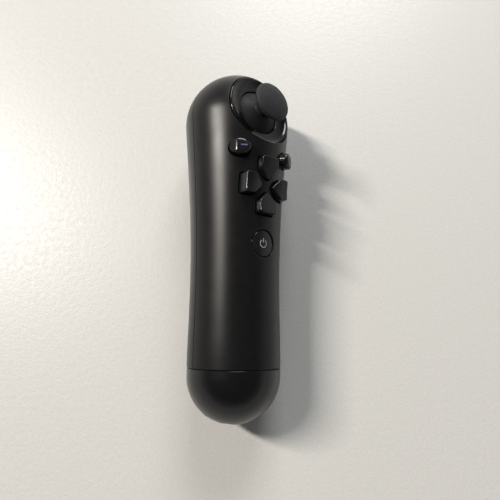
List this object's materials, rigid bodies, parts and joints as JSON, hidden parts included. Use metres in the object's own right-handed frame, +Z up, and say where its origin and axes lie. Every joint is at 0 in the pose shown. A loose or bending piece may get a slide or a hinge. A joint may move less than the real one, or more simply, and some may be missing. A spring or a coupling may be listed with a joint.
{
  "type": "vr motion controller",
  "caption": "One-hand motion controller wand with a thumbstick at its ball end, a direction pad, face and home buttons, and a rear trigger.",
  "frame": {"origin": "centre of the bounding box at the ground", "axes": "+Y towards the stick end, +Z up from the ground, as the wand lies rolled on to its trigger with its front face up and towards +X"},
  "size_m": [0.043, 0.1376, 0.044],
  "materials": {
    "antenna": "fired",
    "battery_cable": "insulated wire",
    "battery_cell": "wrapped can",
    "battery_plug": "nylon",
    "battery_tray": "plain",
    "board_screw_1": "zinc plated",
    "board_screw_2": "zinc plated",
    "button_membrane": "silicone",
    "charging_board": "solder mask",
    "charging_cable": "insulated wire",
    "charging_contact_left": "gold plated",
    "charging_contact_right": "gold plated",
    "charging_plug": "nylon",
    "direction_pad": "satin",
    "dpad_pivot_ball": "polished",
    "dpad_pivot_post": "natural acetal",
    "front_shell": "fine satin moulding",
    "home_button": "satin",
    "home_switch": "plain",
    "inner_frame": "plain",
    "left_button": "satin",
    "left_button_dome": "silicone",
    "main_board": "solder mask",
    "motion_sensor": "moulded",
    "port_shell": "tinned sheet",
    "port_tongue": "moulded",
    "processor_chip": "moulded",
    "radio_shield": "tinned sheet",
    "rating_label": "printed film",
    "rear_board": "solder mask",
    "rear_shell": "fine satin moulding",
    "reset_button": "satin",
    "reset_switch": "plain",
    "right_button": "satin",
    "right_button_dome": "silicone",
    "shell_screw_1": "black zinc",
    "shell_screw_2": "black zinc",
    "shell_screw_3": "black zinc",
    "shoulder_button": "satin",
    "shoulder_switch": "plain",
    "stick_bezel": "polished",
    "stick_board": "solder mask",
    "stick_click_switch": "bright",
    "stick_module_housing": "bright sheet",
    "stick_pivot_block": "natural acetal",
    "stick_sensor_swing": "plain",
    "stick_sensor_tilt": "plain",
    "stick_yoke": "natural acetal",
    "strap_bar": "ground",
    "tail_cap": "polished",
    "thumbstick_cap": "fine-grained",
    "thumbstick_core": "satin",
    "trigger": "satin",
    "trigger_bracket": "plain",
    "trigger_hinge_pin": "ground",
    "trigger_return_spring": "wire",
    "trigger_stop_pad": "silicone"
  },
  "bodies": {
    "grip": {"antenna": "antenna", "battery_cable": "battery_cable", "battery_cell": "battery_cell", "battery_plug": "battery_plug", "battery_tray": "battery_tray", "board_screw_1": "board_screw_1", "board_screw_2": "board_screw_2", "button_membrane": "button_membrane", "charging_board": "charging_board", "charging_cable": "charging_cable", "charging_contact_left": "charging_contact_left", "charging_contact_right": "charging_contact_right", "charging_plug": "charging_plug", "dpad_pivot_post": "dpad_pivot_post", "front_shell": "front_shell", "home_switch": "home_switch", "inner_frame": "inner_frame", "left_button_dome": "left_button_dome", "main_board": "main_board", "motion_sensor": "motion_sensor", "port_shell": "port_shell", "port_tongue": "port_tongue", "processor_chip": "processor_chip", "radio_shield": "radio_shield", "rating_label": "rating_label", "rear_board": "rear_board", "rear_shell": "rear_shell", "reset_switch": "reset_switch", "right_button_dome": "right_button_dome", "shell_screw_1": "shell_screw_1", "shell_screw_2": "shell_screw_2", "shell_screw_3": "shell_screw_3", "shoulder_switch": "shoulder_switch", "stick_bezel": "stick_bezel", "stick_board": "stick_board", "stick_click_switch": "stick_click_switch", "stick_module_housing": "stick_module_housing", "stick_sensor_swing": "stick_sensor_swing", "stick_sensor_tilt": "stick_sensor_tilt", "strap_bar": "strap_bar", "tail_cap": "tail_cap", "trigger_bracket": "trigger_bracket", "trigger_hinge_pin": "trigger_hinge_pin", "trigger_return_spring": "trigger_return_spring", "trigger_stop_pad": "trigger_stop_pad"},
    "stick_yoke": {"stick_yoke": "stick_yoke"},
    "stick_pivot_block": {"stick_pivot_block": "stick_pivot_block"},
    "thumbstick": {"thumbstick_core": "thumbstick_core", "thumbstick_cap": "thumbstick_cap"},
    "dpad_pivot_ball": {"dpad_pivot_ball": "dpad_pivot_ball"},
    "direction_pad": {"direction_pad": "direction_pad"},
    "left_button": {"left_button": "left_button"},
    "right_button": {"right_button": "right_button"},
    "home_button": {"home_button": "home_button"},
    "shoulder_button": {"shoulder_button": "shoulder_button"},
    "trigger": {"trigger": "trigger"},
    "reset_button": {"reset_button": "reset_button"}
  },
  "joints": [
    {"name": "stick_tilt", "type": "hinge", "parent": "grip", "child": "stick_yoke", "pos_m": [0.00259, 0.04821, 0.02503], "axis": [0.7837, 0.0219, -0.6208], "range_deg": [-18, 18], "stiffness_Nm_per_rad": 0.06},
    {"name": "stick_swing", "type": "hinge", "parent": "stick_yoke", "child": "stick_pivot_block", "pos_m": [0.00259, 0.04821, 0.02503], "axis": [-0.0789, 0.9948, -0.0646], "range_deg": [-18, 18], "stiffness_Nm_per_rad": 0.06},
    {"name": "stick_click", "type": "slide", "parent": "stick_pivot_block", "child": "thumbstick", "axis": [-0.6161, -0.0996, -0.7813], "range_m": [0, 0.0005], "stiffness_N_per_m": 3000, "springref_m": -0.0008},
    {"name": "direction_pad_tilt", "type": "hinge", "parent": "grip", "child": "dpad_pivot_ball", "pos_m": [0.00821, 0.01734, 0.03104], "axis": [0.7837, 0.0219, -0.6208], "range_deg": [-3, 3], "stiffness_Nm_per_rad": 0.2},
    {"name": "direction_pad_rock", "type": "hinge", "parent": "dpad_pivot_ball", "child": "direction_pad", "pos_m": [0.00821, 0.01734, 0.03104], "axis": [0, 0.9994, 0.0352], "range_deg": [-3, 3], "stiffness_Nm_per_rad": 0.2},
    {"name": "left_button_press", "type": "slide", "parent": "grip", "child": "left_button", "axis": [-0.0941, 0.0351, -0.9949], "range_m": [0, 0.001], "stiffness_N_per_m": 700, "springref_m": -0.0006},
    {"name": "right_button_press", "type": "slide", "parent": "grip", "child": "right_button", "axis": [-0.9478, 0.0112, -0.3188], "range_m": [0, 0.001], "stiffness_N_per_m": 700, "springref_m": -0.0006},
    {"name": "home_button_press", "type": "slide", "parent": "grip", "child": "home_button", "axis": [-0.6211, 0.0276, -0.7832], "range_m": [0, 0.0006], "stiffness_N_per_m": 1200, "springref_m": -0.0006},
    {"name": "shoulder_button_press", "type": "slide", "parent": "grip", "child": "shoulder_button", "axis": [0.5837, -0.3678, 0.7239], "range_m": [0, 0.001], "stiffness_N_per_m": 900, "springref_m": -0.0006},
    {"name": "trigger_pull", "type": "hinge", "parent": "grip", "child": "trigger", "pos_m": [-0.00856, 0.03968, 0.01065], "axis": [-0.7837, -0.0219, 0.6208], "range_deg": [0, 12], "stiffness_Nm_per_rad": 0.15, "springref_deg": -6.88},
    {"name": "reset_press", "type": "slide", "parent": "grip", "child": "reset_button", "axis": [0.6211, -0.0276, 0.7832], "range_m": [0, 0.0003], "stiffness_N_per_m": 1500, "springref_m": -0.0004}
  ]
}
